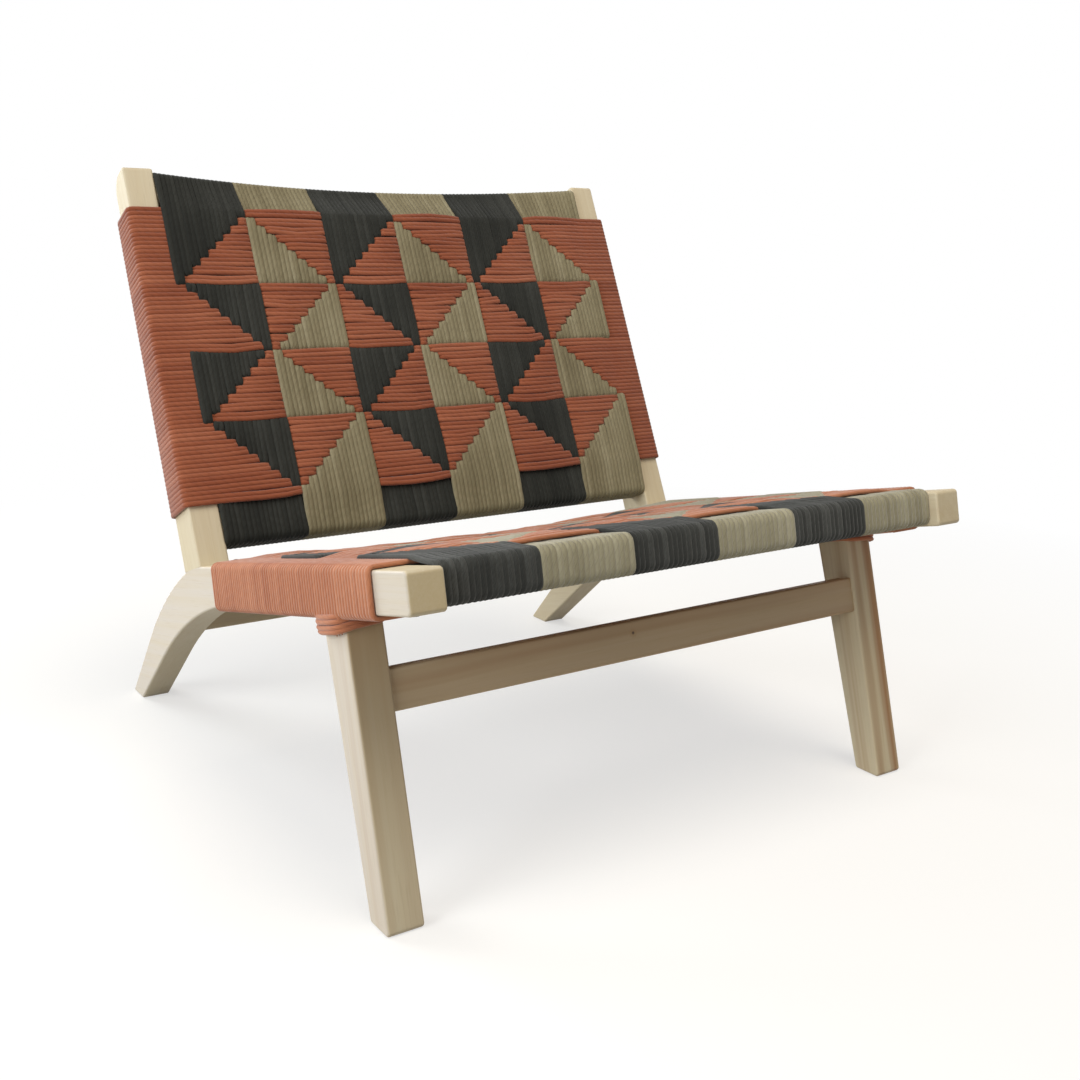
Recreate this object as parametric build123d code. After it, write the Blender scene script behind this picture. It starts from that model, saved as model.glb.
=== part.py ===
from build123d import *
import math
import os

# A low garden lounge chair: a pale hardwood frame with a seat and a back of wound and woven cord.
# Millimetres and degrees. The chair faces -Y, +Z is up, and left and right are as seen from the front.
# A side view is drawn in (y, z), with y counted from the top front corner of the side rail.

# Frame
FRAME_WIDTH = 650.0
STOCK = 34.0
EDGE_ROUND = 2.5
CORNER_ROUND = 4.0
HEEL_ROUND = 1.5
TOUCH = 0.01

# Side rail, which bends down into the rear leg
SEAT_FRONT_HEIGHT = 331.0
SEAT_SLOPE = 12.8
SEAT_RUN = 472.0
RAIL_DEPTH_FRONT = 36.0
RAIL_DEPTH_REAR = 42.0
RAIL_STRAIGHT = 425.0
REAR_HEEL = 731.0
REAR_FOOT = 35.0
REAR_LEG_BACK_ANGLE = 49.0
REAR_LEG_BACK_STRAIGHT = 130.0
REAR_LEG_FRONT_ANGLE = 41.2
REAR_LEG_FRONT_STRAIGHT = 127.0

# Back stile
STILE_RAKE = 25.2
STILE_LENGTH = 460.0
STILE_FOOT = 52.0
STILE_FOOT_SLOPE = 20.5
STILE_DEPTH_TOP = 38.0
STILE_TOP_ROUND = 22.0

# Front leg
FRONT_LEG_SET_BACK = 36.0
FRONT_LEG_SPLAY = 15.9
FRONT_LEG_FOOT = 34.0
FRONT_LEG_TOP = 45.0
FRONT_LEG_INSET = 2.0
FRONT_LEG_STOCK = 36.0

# Stretchers
FRONT_STRETCHER_RISE = 187.0
FRONT_STRETCHER_HEIGHT = 38.0
FRONT_STRETCHER_THICKNESS = 22.0
FRONT_STRETCHER_RECESS = 3.0
REAR_STRETCHER_HEIGHT = 36.0
REAR_STRETCHER_THICKNESS = 20.0
REAR_STRETCHER_BACK_SHARE = 0.5
REAR_STRETCHER_FRONT_SHARE = 0.25

# Rails that carry the cords: each lies this far below the panel's face
CORD_RAIL_RECESS = 1.0
CORD_RAIL_THICKNESS = 29.0
CORD_RAIL_ROUND = 5.0
SEAT_FRONT_RAIL_START = 15.0
SEAT_FRONT_RAIL_WIDTH = 34.0
SEAT_REAR_RAIL_WIDTH = 34.0
SEAT_REAR_RAIL_MARGIN = 7.0
SEAT_REAR_RAIL_BOW = 12.0
BACK_BOTTOM_RAIL_START = 24.0
BACK_BOTTOM_RAIL_WIDTH = 34.0
BACK_TOP_RAIL_WIDTH = 34.0
BACK_TOP_RAIL_MARGIN = 9.0
BACK_TOP_RAIL_BOW = 28.0

# Joints in the wood
FIT = 0.2
TENON_LENGTH = 18.0
TENON_SHOULDER = 6.0
LEG_TENON_SHOULDER = 8.0
MORTISE_RELIEF = 1.0
RAIL_DOWEL_DIAMETER = 8.0
RAIL_DOWEL_LENGTH = 40.0
STILE_DOWEL_DIAMETER = 10.0
STILE_DOWEL_BURY = 26.0
STILE_DOWEL_SHARES = (0.3, 0.7)

# Cords
CORD = 5.0
CORD_GAP = 0.3
BANDS = 6
ROWS = 4
BAND_SPACING = 0.6
WEFT_MARGIN_NEAR = 8.0
WEFT_MARGIN_FAR = 7.0
WEFT_STRIP = 10.0
CELL_MARGIN = 4.0
BINDING_TURNS = 4
BINDING_PITCH = 5.6
BINDING_FACETS = 8
BINDING_SAMPLES = 480


def heading(angle):
    """Unit vector in the side view, with the angle counted from +Y up towards +Z."""
    return Vector(math.cos(math.radians(angle)), math.sin(math.radians(angle)))


class Side:
    """A straight edge in the side view: distances run along it, and out from its face."""

    def __init__(self, origin, angle):
        self.origin = origin
        self.run = heading(angle)
        self.out = heading(angle + 90)

    def at(self, along, out=0.0):
        return self.origin + self.run * along + self.out * out

    def local(self, point):
        offset = point - self.origin
        return offset.dot(self.run), offset.dot(self.out)

    def plane(self, x=0.0):
        """First axis along the edge, second axis out of its face, third axis along X."""
        origin = (x, self.origin.X, self.origin.Y)
        return Plane(origin=origin, x_dir=(0, self.run.X, self.run.Y), z_dir=(1, 0, 0))

    def face_plane(self):
        """First axis along X, second axis along the edge, third axis out of the face."""
        origin = (0, self.origin.X, self.origin.Y)
        return Plane(origin=origin, x_dir=(1, 0, 0), z_dir=(0, self.out.X, self.out.Y))

    def cross_plane(self, along):
        """First axis along X, second axis out of the face, square to the edge."""
        spot = self.at(along)
        return Plane(
            origin=(0, spot.X, spot.Y), x_dir=(1, 0, 0), z_dir=(0, -self.run.X, -self.run.Y)
        )


def meet(start, direction, base, base_direction):
    """Point where the line from start meets the line from base, both in the side view."""
    gap = base - start
    across = direction.X * base_direction.Y - direction.Y * base_direction.X
    reach = (gap.X * base_direction.Y - gap.Y * base_direction.X) / across
    return start + direction * reach


# Lines of the frame in the side view
rail = Side(Vector(0, SEAT_FRONT_HEIGHT), -SEAT_SLOPE)
stile = Side(rail.at(SEAT_RUN), 90 - STILE_RAKE)
stile_heel = stile.origin + heading(-STILE_FOOT_SLOPE) * STILE_FOOT
stile_top_back = stile.at(STILE_LENGTH, -STILE_DEPTH_TOP)
under_front = rail.at(0, -RAIL_DEPTH_FRONT)
under_rear = rail.at(RAIL_STRAIGHT, -RAIL_DEPTH_REAR)
under_run = (under_rear - under_front).normalized()
heel = Vector(REAR_HEEL, 0)
heel_front = Vector(REAR_HEEL - REAR_FOOT, 0)
leg_back_knee = heel - heading(-REAR_LEG_BACK_ANGLE) * REAR_LEG_BACK_STRAIGHT
leg_front_knee = heel_front - heading(-REAR_LEG_FRONT_ANGLE) * REAR_LEG_FRONT_STRAIGHT
leg_back_arc = TangentArc(leg_back_knee, stile_heel, tangent=-heading(-REAR_LEG_BACK_ANGLE))
leg_front_arc = TangentArc(leg_front_knee, under_rear, tangent=-heading(-REAR_LEG_FRONT_ANGLE))
front_leg = Side(Vector(FRONT_LEG_SET_BACK, 0), 90 - FRONT_LEG_SPLAY)
leg_top_front = meet(front_leg.origin, front_leg.run, under_front, under_run)
leg_top_back = leg_top_front + under_run * FRONT_LEG_TOP
leg_foot_back = Vector(FRONT_LEG_SET_BACK + FRONT_LEG_FOOT, 0)
rear_stretcher_back = leg_back_arc @ REAR_STRETCHER_BACK_SHARE
rear_stretcher_front = leg_front_arc @ REAR_STRETCHER_FRONT_SHARE
rear_stretcher_centre = (rear_stretcher_back + rear_stretcher_front) / 2

# Limits along X, and along the two corded panels
outer = FRAME_WIDTH / 2
inner = outer - STOCK
leg_outer = outer - FRONT_LEG_INSET
leg_inner = leg_outer - FRONT_LEG_STOCK
rail_face = -CORD_RAIL_RECESS
rail_back = rail_face - CORD_RAIL_THICKNESS
seat_front_rail = (SEAT_FRONT_RAIL_START, SEAT_FRONT_RAIL_START + SEAT_FRONT_RAIL_WIDTH)
seat_rear_end = SEAT_RUN - SEAT_REAR_RAIL_MARGIN
seat_rear_rail = (seat_rear_end - SEAT_REAR_RAIL_WIDTH, seat_rear_end)
back_bottom_rail = (BACK_BOTTOM_RAIL_START, BACK_BOTTOM_RAIL_START + BACK_BOTTOM_RAIL_WIDTH)
back_top_end = STILE_LENGTH - BACK_TOP_RAIL_MARGIN
back_top_rail = (back_top_end - BACK_TOP_RAIL_WIDTH, back_top_end)


def block(plane, along, out, across):
    """Box between limits along the plane's first, second and third axes."""
    size = (along[1] - along[0], out[1] - out[0], across[1] - across[0])
    box = Box(*size, align=(Align.MIN, Align.MIN, Align.MIN))
    return plane * Pos(along[0], out[0], across[0]) * box


def grown(limits, amount):
    return limits[0] - amount, limits[1] + amount


def centre(limits):
    return (limits[0] + limits[1]) / 2


def dowel(plane, along, out, middle, length, diameter):
    """Round pin along X, with its middle at the given X."""
    return plane * Pos(along, out, middle) * Cylinder(diameter / 2, length)


def slab(curves, x_from, x_to, corners):
    """Piece cut from a board: a side view outline with its listed corners rounded."""
    outline = make_face(curves)
    for corner, radius in corners:
        outline = fillet(outline.vertices().sort_by_distance(corner)[0], radius)
    return extrude(Plane.YZ * outline, x_to - x_from).moved(Location((x_from, 0, 0)))


def soften(piece, x_faces, keep_sharp=()):
    """Round the outline on both cut faces, apart from the edges centred on the listed points."""
    edges = []
    for edge in piece.edges():
        box = edge.bounding_box()
        on_face = any(max(abs(box.min.X - x), abs(box.max.X - x)) < TOUCH for x in x_faces)
        spot = edge @ 0.5
        sharp = any((Vector(spot.Y, spot.Z) - point).length < TOUCH for point in keep_sharp)
        if on_face and not sharp:
            edges.append(edge)
    return fillet(edges, EDGE_ROUND)


def rail_dowel_spots(limits):
    """Two pins at the end of a cord rail, at its quarter points."""
    quarter = (limits[1] - limits[0]) / 4
    return limits[0] + quarter, limits[1] - quarter


def rail_dowels(side, rails, clearance=0.0):
    """Pins between the cord rails and the left side member, with room round them if asked."""
    pins = []
    depth = (rail_face + rail_back) / 2
    for limits in rails:
        for along in rail_dowel_spots(limits):
            pins.append(
                dowel(
                    side.plane(), along, depth, -inner,
                    RAIL_DOWEL_LENGTH + 2 * clearance, RAIL_DOWEL_DIAMETER + 2 * clearance,
                )
            )
    return pins


def stile_dowels(clearance=0.0):
    """Two pins along the left stile, from inside the side rail up to the level of the bottom rail."""
    pins = []
    low, high = grown((-STILE_DOWEL_BURY, BACK_BOTTOM_RAIL_START), clearance)
    for share in STILE_DOWEL_SHARES:
        spot = stile.origin + heading(-STILE_FOOT_SLOPE) * STILE_FOOT * share
        out = stile.local(spot)[1]
        pin = Rot(0, 90, 0) * Cylinder(STILE_DOWEL_DIAMETER / 2 + clearance, high - low)
        pins.append(stile.plane() * Pos(centre((low, high)), out, centre((-outer, -inner))) * pin)
    return pins


def leg_tenon(clearance=0.0):
    """Tenon on top of the left front leg, square to the underside of the rail."""
    under = Side(leg_top_front, math.degrees(math.atan2(under_run.Y, under_run.X)))
    along = grown((LEG_TENON_SHOULDER, FRONT_LEG_TOP - LEG_TENON_SHOULDER), clearance)
    across = grown((-leg_outer + LEG_TENON_SHOULDER, -leg_inner - LEG_TENON_SHOULDER), clearance)
    relief = MORTISE_RELIEF if clearance else 0.0
    return block(under.plane(), along, (0, TENON_LENGTH + relief), across)


front_stretcher_limits = (
    (FRONT_STRETCHER_RISE, FRONT_STRETCHER_RISE + FRONT_STRETCHER_HEIGHT),
    (-FRONT_STRETCHER_RECESS - FRONT_STRETCHER_THICKNESS, -FRONT_STRETCHER_RECESS),
)
rear_stretcher_limits = (
    (-REAR_STRETCHER_HEIGHT / 2, REAR_STRETCHER_HEIGHT / 2),
    (-REAR_STRETCHER_THICKNESS / 2, REAR_STRETCHER_THICKNESS / 2),
)
rear_stretcher_side = Side(rear_stretcher_centre, 90)


def stretcher_tenon(side, limits, face, clearance=0.0):
    """Tenon on a stretcher's left end, which enters a side member whose inner face is at -face."""
    along = grown(limits[0], clearance - TENON_SHOULDER)
    out = grown(limits[1], clearance - TENON_SHOULDER)
    relief = MORTISE_RELIEF if clearance else 0.0
    return block(side.plane(), along, out, (-face - TENON_LENGTH - relief, -face))


def stretcher(side, limits, face):
    bar = block(side.plane(), limits[0], limits[1], (-face, face))
    bar = fillet(bar.edges().filter_by(Axis.X), EDGE_ROUND)
    tenon = stretcher_tenon(side, limits, face)
    return bar + tenon + mirror(tenon, Plane.YZ)


def side_rail():
    """Seat rail and rear leg in one piece: straight, then bent down and tapered to the foot."""
    curves = [
        Line(rail.at(0), stile.origin),
        Line(stile.origin, stile_heel),
        leg_back_arc,
        Line(leg_back_knee, heel),
        Line(heel, heel_front),
        Line(heel_front, leg_front_knee),
        leg_front_arc,
        Line(under_rear, under_front),
        Line(under_front, rail.at(0)),
    ]
    corners = [(point, CORNER_ROUND) for point in (rail.at(0), under_front, heel_front)]
    corners.append((heel, HEEL_ROUND))
    piece = slab(curves, -outer, -inner, corners)
    stile_seat = (stile.origin + stile_heel) / 2
    piece = soften(piece, (-outer, -inner), keep_sharp=[stile_seat])
    for pin in rail_dowels(rail, (seat_front_rail, seat_rear_rail), FIT) + stile_dowels(FIT):
        piece -= pin
    piece -= leg_tenon(FIT)
    piece -= stretcher_tenon(rear_stretcher_side, rear_stretcher_limits, inner, FIT)
    return piece


def back_stile():
    """Raked stile, deep at its foot and narrow at the top, with a rounded crown at the back."""
    top_front = stile.at(STILE_LENGTH)
    curves = [
        Line(stile.origin, stile_heel),
        Line(stile_heel, stile_top_back),
        Line(stile_top_back, top_front),
        Line(top_front, stile.origin),
    ]
    corners = [(stile_top_back, STILE_TOP_ROUND), (top_front, CORNER_ROUND)]
    piece = slab(curves, -outer, -inner, corners)
    stile_seat = (stile.origin + stile_heel) / 2
    piece = soften(piece, (-outer, -inner), keep_sharp=[stile_seat])
    for pin in rail_dowels(stile, (back_bottom_rail, back_top_rail), FIT) + stile_dowels(FIT):
        piece -= pin
    return piece


def front_leg_piece():
    """Tapered leg, splayed forward, with a tenon that enters the rail from below."""
    curves = [
        Line(front_leg.origin, leg_top_front),
        Line(leg_top_front, leg_top_back),
        Line(leg_top_back, leg_foot_back),
        Line(leg_foot_back, front_leg.origin),
    ]
    corners = [(front_leg.origin, CORNER_ROUND), (leg_foot_back, CORNER_ROUND)]
    piece = slab(curves, -leg_outer, -leg_inner, corners)
    leg_top = (leg_top_front + leg_top_back) / 2
    piece = soften(piece, (-leg_outer, -leg_inner), keep_sharp=[leg_top])
    piece += leg_tenon()
    return piece - stretcher_tenon(front_leg, front_stretcher_limits, leg_inner, FIT)


def span(left, right, dip):
    """Edge from side to side, dipping in the middle by the given amount."""
    if dip == 0:
        return Line(left, right)
    return ThreePointArc(left, (0, left[1] - dip), right)


def cord_rail(side, limits, bow):
    """Rail between the side members that carries the cords, bowed away from the panel's face."""
    half = inner
    outline = make_face(
        [
            span((-half, rail_face), (half, rail_face), bow),
            Line((half, rail_face), (half, rail_back)),
            span((-half, rail_back), (half, rail_back), bow),
            Line((-half, rail_back), (-half, rail_face)),
        ]
    )
    bar = extrude(side.cross_plane(limits[1]) * outline, limits[1] - limits[0])
    long_edges = [edge for edge in bar.edges() if abs((edge @ 0.5).X) < TOUCH]
    bar = fillet(long_edges, CORD_RAIL_ROUND)
    for pin in rail_dowels(side, (limits,), FIT):
        bar -= pin
        bar -= mirror(pin, Plane.YZ)
    return bar


class Panel:
    """A corded panel: a straight rail near its start, a bowed rail at its end, and two side members."""

    def __init__(self, side, near, far, bow, side_depth, pattern_from_far):
        self.side = side
        self.near = near
        self.far = far
        self.bow = bow
        self.side_depth = side_depth
        self.pattern_from_far = pattern_from_far
        self.weft = (near[1] + WEFT_MARGIN_NEAR, far[0] - WEFT_MARGIN_FAR)
        self.band_width = 2 * inner / BANDS
        self.row_height = (self.weft[1] - self.weft[0] - 2 * WEFT_STRIP) / ROWS

    def dip(self, x):
        """How far the bowed rail lies behind the panel's face at x."""
        return self.bow * (1 - (x / inner) ** 2)

    def face_share(self, along):
        """Share of the bow that the woven face takes on at a place along the panel."""
        return (along - self.weft[0]) / (self.far[1] - self.weft[0])

    def chord_rise(self):
        """How far the bowed rail bulges behind a straight band between the band's edges."""
        return self.bow * (self.band_width / (2 * inner)) ** 2

    def triangle(self, band, row, cross_cord):
        """Corners of the half of a cell where the cross cord, or else the band, is on top."""
        falling = (band + row) % 2 == 0
        keep_low = (band % 2 == 0) == cross_cord
        if falling:
            corners = [(1, 0), (0, 1), (1, 1) if keep_low else (0, 0)]
        else:
            corners = [(0, 0), (1, 1), (0, 1) if keep_low else (1, 0)]
        spots = []
        for across, down in corners:
            x = (across if self.pattern_from_far else 1 - across) * self.band_width
            step = WEFT_STRIP + (row + down) * self.row_height
            along = self.weft[1] - step if self.pattern_from_far else self.weft[0] + step
            spots.append(Vector(band * self.band_width - inner + x, along))
        return inset(spots, CELL_MARGIN)


def inset(corners, margin):
    """Triangle with each side moved in by the margin."""
    sides = [(corners[(i + 1) % 3] - corners[(i + 2) % 3]).length for i in range(3)]
    around = sum(sides)
    middle = sum((corner * side for corner, side in zip(corners, sides)), Vector()) * (1 / around)
    first, second = corners[1] - corners[0], corners[2] - corners[0]
    reach = abs(first.X * second.Y - first.Y * second.X) / around
    return [middle + (corner - middle) * ((reach - margin) / reach) for corner in corners]


def windows(panel, band, cross_cord, bottom, top):
    """Prisms through one face of a panel, one for each cell of a band."""
    prisms = []
    for row in range(ROWS):
        outline = make_face(Polyline(*panel.triangle(band, row, cross_cord), close=True))
        prism = extrude(panel.side.face_plane() * outline, top - bottom)
        rise = panel.side.out * bottom
        prisms.append(prism.moved(Location((0, rise.X, rise.Y))))
    return prisms


def band_section(panel, x, grow):
    """Outline of one band of cord at x: round both rails, and over the cross cord on the face."""
    near, far = panel.near, panel.far
    dip = panel.dip(x)
    face = rail_face + CORD_GAP + grow
    lifted = CORD + 3 * CORD_GAP + grow
    back = rail_back - CORD_GAP - panel.chord_rise() - grow
    start = near[0] - CORD_GAP - grow
    end = far[1] + CORD_GAP + grow
    ramp_end = dip * panel.face_share(panel.weft[1])
    corners = [
        (start, back), (start, face), (near[1], face),
        (panel.weft[0], lifted), (panel.weft[1], lifted - ramp_end),
        (far[0], face - dip), (end, face - dip), (end, back - dip), (far[0], back - dip),
    ]
    outline = make_face(Polyline(*corners, close=True))
    for corner in (corners[0], corners[1], corners[6], corners[7]):
        spot = Vector(*corner)
        outline = fillet(outline.vertices().sort_by_distance(spot)[0], CORD_RAIL_ROUND + grow)
    return panel.side.plane(x) * outline


def warp_band(panel, band):
    """One band of cord round both rails, open where the cross cord comes to the face."""
    left = band * panel.band_width - inner + BAND_SPACING / 2
    right = left + panel.band_width - BAND_SPACING
    shells = []
    for grow in (CORD, 0.0):
        sections = [band_section(panel, x, grow) for x in (left, right)]
        shells.append(loft(sections, ruled=True))
    piece = shells[0] - shells[1]
    top = 2 * (CORD + CORD_GAP) + CORD
    for prism in windows(panel, band, True, rail_back, top):
        piece -= prism
    return piece


def weft_section(panel, along, shrink):
    """Outline of the cross cord's winding at one place along the panel."""
    reach = outer + CORD_GAP + CORD - shrink
    face = CORD_GAP + CORD - shrink
    back = -panel.side_depth(along) - face
    face_dip = panel.bow * panel.face_share(along)
    back_dip = panel.bow * (along - panel.near[0]) / (panel.far[0] - panel.near[0])
    outline = make_face(
        [
            span((-inner, face), (inner, face), face_dip),
            Polyline((inner, face), (reach, face), (reach, back), (inner, back)),
            span((-inner, back), (inner, back), back_dip),
            Polyline((-inner, back), (-reach, back), (-reach, face), (-inner, face)),
        ]
    )
    for corner in ((reach, face), (reach, back), (-reach, back), (-reach, face)):
        spot = Vector(*corner)
        outline = fillet(
            outline.vertices().sort_by_distance(spot)[0], EDGE_ROUND + CORD_GAP + CORD - shrink
        )
    return panel.side.cross_plane(along) * outline


def weft_winding(panel):
    """Cross cord round both side members, open at the back where the bands come to that face."""
    shells = []
    for shrink in (0.0, CORD):
        sections = [weft_section(panel, along, shrink) for along in panel.weft]
        shells.append(loft(sections, ruled=True))
    piece = shells[0] - shells[1]
    deepest = -panel.side_depth(0) - 2 * (CORD + CORD_GAP) - panel.bow - CORD
    for band in range(BANDS):
        for prism in windows(panel, band, False, deepest, rail_back):
            piece -= prism
    return piece


def rail_depth(along):
    """Depth of the side rail, which grows from its front end to the bend."""
    return RAIL_DEPTH_FRONT + (RAIL_DEPTH_REAR - RAIL_DEPTH_FRONT) * along / RAIL_STRAIGHT


def stile_depth(along):
    """Depth of the stile, which shrinks from its foot to its top."""
    foot_along, foot_out = stile.local(stile_heel)
    share = (along - foot_along) / (STILE_LENGTH - foot_along)
    return -foot_out + (STILE_DEPTH_TOP + foot_out) * share


seat = Panel(rail, seat_front_rail, seat_rear_rail, SEAT_REAR_RAIL_BOW, rail_depth, False)
back = Panel(stile, back_bottom_rail, back_top_rail, BACK_TOP_RAIL_BOW, stile_depth, True)


def leg_hole():
    """Room in the seat's winding for the top of the left front leg."""
    start = rail.local(leg_top_front)[0]
    along = grown((start, start + FRONT_LEG_TOP), 2 * CORD_GAP)
    depth = -rail_depth(along[0])
    across = grown((-leg_outer, -leg_inner), CORD_GAP)
    return block(rail.plane(), along, (depth - 3 * CORD, depth + CORD_GAP), across)


def leg_depth(along):
    """Depth of the front leg, square to its front face, at a distance from the toe."""
    top_along, top_out = front_leg.local(leg_top_back)
    foot_along, foot_out = front_leg.local(leg_foot_back)
    share = (along - foot_along) / (top_along - foot_along)
    return -(foot_out + (top_out - foot_out) * share)


def leg_binding():
    """Turns of cord round the top of the left front leg, as one tube that begins and ends inside."""
    stand_off = CORD / 2 + CORD_GAP
    start = front_leg.local(leg_top_front)[0] - CORD - 3 * CORD_GAP - CORD / 2
    near_x, far_x = -leg_inner + stand_off, -leg_outer - stand_off
    points = []
    for quarter in range(4 * BINDING_TURNS):
        along = start - BINDING_PITCH * quarter / 4
        front_out = stand_off
        back_out = -leg_depth(along) - stand_off
        x, out = [
            (near_x, front_out), (far_x, front_out), (far_x, back_out), (near_x, back_out)
        ][quarter % 4]
        points.append((along, out, x))
    middle = -leg_depth(start) / 2
    first = (start + BINDING_PITCH / 8, middle, near_x)
    last = (start - BINDING_PITCH * (BINDING_TURNS - 1 / 8), middle, near_x)
    route = [first] + points + [last]
    path = front_leg.plane() * FilletPolyline(*route, radius=EDGE_ROUND + stand_off)
    print("leg binding: least gap between turns %.2f mm" % self_gap(path))
    section = Plane(origin=path @ 0, z_dir=path % 0) * RegularPolygon(CORD / 2, BINDING_FACETS)
    return sweep(section, path=path)


def self_gap(path):
    """Least clear distance between the turns of a tube, measured on points along its path."""
    count = BINDING_SAMPLES
    step = path.length / count
    turn = path.length / BINDING_TURNS
    points = [path @ (i / count) for i in range(count + 1)]
    apart = int(turn / 2 / step)
    least = min(
        (points[i] - points[j]).length
        for i in range(count + 1)
        for j in range(i + apart, count + 1)
    )
    return least - CORD


def both_sides(name, piece):
    return {"left_" + name: piece, "right_" + name: mirror(piece, Plane.YZ)}


def pin_group(pins):
    return Compound(pins + [mirror(pin, Plane.YZ) for pin in pins])


def chair():
    """Every piece of the chair by name."""
    pieces = {}
    pieces.update(both_sides("side_rail", side_rail()))
    pieces.update(both_sides("back_stile", back_stile()))
    pieces.update(both_sides("front_leg", front_leg_piece()))
    pieces["front_stretcher"] = stretcher(front_leg, front_stretcher_limits, leg_inner)
    pieces["rear_stretcher"] = stretcher(rear_stretcher_side, rear_stretcher_limits, inner)
    pieces["seat_front_rail"] = cord_rail(rail, seat_front_rail, 0.0)
    pieces["seat_rear_rail"] = cord_rail(rail, seat_rear_rail, SEAT_REAR_RAIL_BOW)
    pieces["back_bottom_rail"] = cord_rail(stile, back_bottom_rail, 0.0)
    pieces["back_top_rail"] = cord_rail(stile, back_top_rail, BACK_TOP_RAIL_BOW)
    pieces["seat_rail_dowels"] = pin_group(rail_dowels(rail, (seat_front_rail, seat_rear_rail)))
    pieces["back_rail_dowels"] = pin_group(rail_dowels(stile, (back_bottom_rail, back_top_rail)))
    pieces["stile_dowels"] = pin_group(stile_dowels())
    for name, panel in (("seat", seat), ("back", back)):
        for band in range(BANDS):
            pieces["%s_warp_band_%d" % (name, band + 1)] = warp_band(panel, band)
    hole = leg_hole()
    pieces["seat_weft"] = weft_winding(seat) - hole - mirror(hole, Plane.YZ)
    pieces["back_weft"] = weft_winding(back)
    pieces.update(both_sides("leg_binding", leg_binding()))
    return pieces


def main():
    pieces = chair()
    boxes = [piece.bounding_box() for piece in pieces.values()]
    front = min(box.min.Y for box in boxes)
    rear = max(box.max.Y for box in boxes)
    to_centre = Location((0, -(front + rear) / 2, 0))
    os.makedirs("parts", exist_ok=True)
    for name, piece in pieces.items():
        export_step(piece.moved(to_centre), "parts/%s.step" % name)
    width = 2 * max(box.max.X for box in boxes)
    height = max(box.max.Z for box in boxes)
    print("overall %.1f x %.1f x %.1f mm" % (width, rear - front, height))


main()
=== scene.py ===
import math
import bpy
import numpy as np
from mathutils import Matrix, Vector


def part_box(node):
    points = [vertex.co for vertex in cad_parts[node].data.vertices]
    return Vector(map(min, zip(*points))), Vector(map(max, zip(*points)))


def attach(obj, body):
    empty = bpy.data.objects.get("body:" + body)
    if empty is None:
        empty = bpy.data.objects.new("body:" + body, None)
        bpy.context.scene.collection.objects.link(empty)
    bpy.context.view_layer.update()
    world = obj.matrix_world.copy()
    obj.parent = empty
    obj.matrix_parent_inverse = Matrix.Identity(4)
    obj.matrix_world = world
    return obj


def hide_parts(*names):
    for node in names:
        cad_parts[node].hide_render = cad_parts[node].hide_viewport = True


# A low corded lounge chair. Sizes are in millimetres, in the side view of the CAD model: y is counted from
# the top front corner of the side rail and z from the floor. to_row() turns them into the row frame.

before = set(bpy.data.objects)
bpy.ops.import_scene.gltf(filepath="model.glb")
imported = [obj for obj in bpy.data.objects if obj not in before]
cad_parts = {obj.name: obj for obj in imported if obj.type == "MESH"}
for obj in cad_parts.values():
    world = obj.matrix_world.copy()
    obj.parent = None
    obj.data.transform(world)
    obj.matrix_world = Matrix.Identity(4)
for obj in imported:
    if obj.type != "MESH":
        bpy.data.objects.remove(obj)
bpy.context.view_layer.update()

# Wooden frame. The side members reach from INNER to OUTER, and the rails' faces lie a little below theirs.
FRONT_END = -7.2
SHIFT_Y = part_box("left_side_rail")[0][1] * 1000 - FRONT_END
SEAT_HEIGHT = 331.0
SEAT_SLOPE = 12.8
BACK_START = 472.0
BACK_RAKE = 25.2
LEG_FOOT = 36.0
LEG_SPLAY = 15.9
LEG_START = 125.0
LEG_TOP = 45.0
LEG_SIDES = (287.0, 323.0)
INNER = 291.0
OUTER = 325.0
EDGE_ROUND = 2.5
RAIL_FACE = -1.0
RAIL_BACK = -30.0
RAIL_ROUND = 5.0

# A cord: its size, its height as a share of that, the gap under it, the length of one twist, and its section.
CORD = 4.9
FLAT = 0.9
GAP = 0.3
STAND = CORD / 2 + GAP
LAY = 11.0
SIDES = 8
SQUARE_WIDE = 0.6
SQUARE_HIGH = 0.75
END_SCALE = 0.15

# The weave: six bands of nine pairs of cords, crossed by 34 pairs, in triangles of eight rows. A cord lies
# PAIR_OFFSET of a pair's width from the pair's middle, and changes face within DIVE of a width.
BANDS = 6
PAIRS = 9
PAIR_ROWS = 34
CELL_ROWS = 8
BAND_WIDTH = 2 * INNER / BANDS
PAIR_WIDTH = BAND_WIDTH / PAIRS
PAIR_OFFSET = 0.249
WEAVE_LEVEL = 3.4
WEAVE_HALF = 2.2
DIVE = 0.33
SLANT = 0.08
SLANT_REACH = 0.75
FOLLOW = 0.12

# Cords are wider than their spacing, are pinched where a pair dives, and puff up on long floats.
BAND_SQUASH = 1.27
BAND_PINCH = 0.17
BAND_PINCH_REACH = 9.0
WEFT_SQUASH = 1.22
WEFT_PINCH = 0.27
WEFT_PINCH_REACH = 11.0
PUFF = 0.35
PUFF_REACH = 25.0

# How far a cross cord's floats hang out of line: in single rows, in the last row of each cell of triangles,
# and at most elsewhere.
EDGE_SLACK = {0: -1.0, PAIR_ROWS - 2: 0.0, PAIR_ROWS - 1: 1.4}
CELL_SLACK = 1.7
MOST_SLACK = 0.8
SLACK_REACH = 30.0

# Distances from the frame over which the weave reaches its full height, and the wander its full size.
BAND_RISE = 42.0
WEFT_RISE = 34.0
SHORT_RISE = 8.0
WANDER_RISE = 40.0

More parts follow.
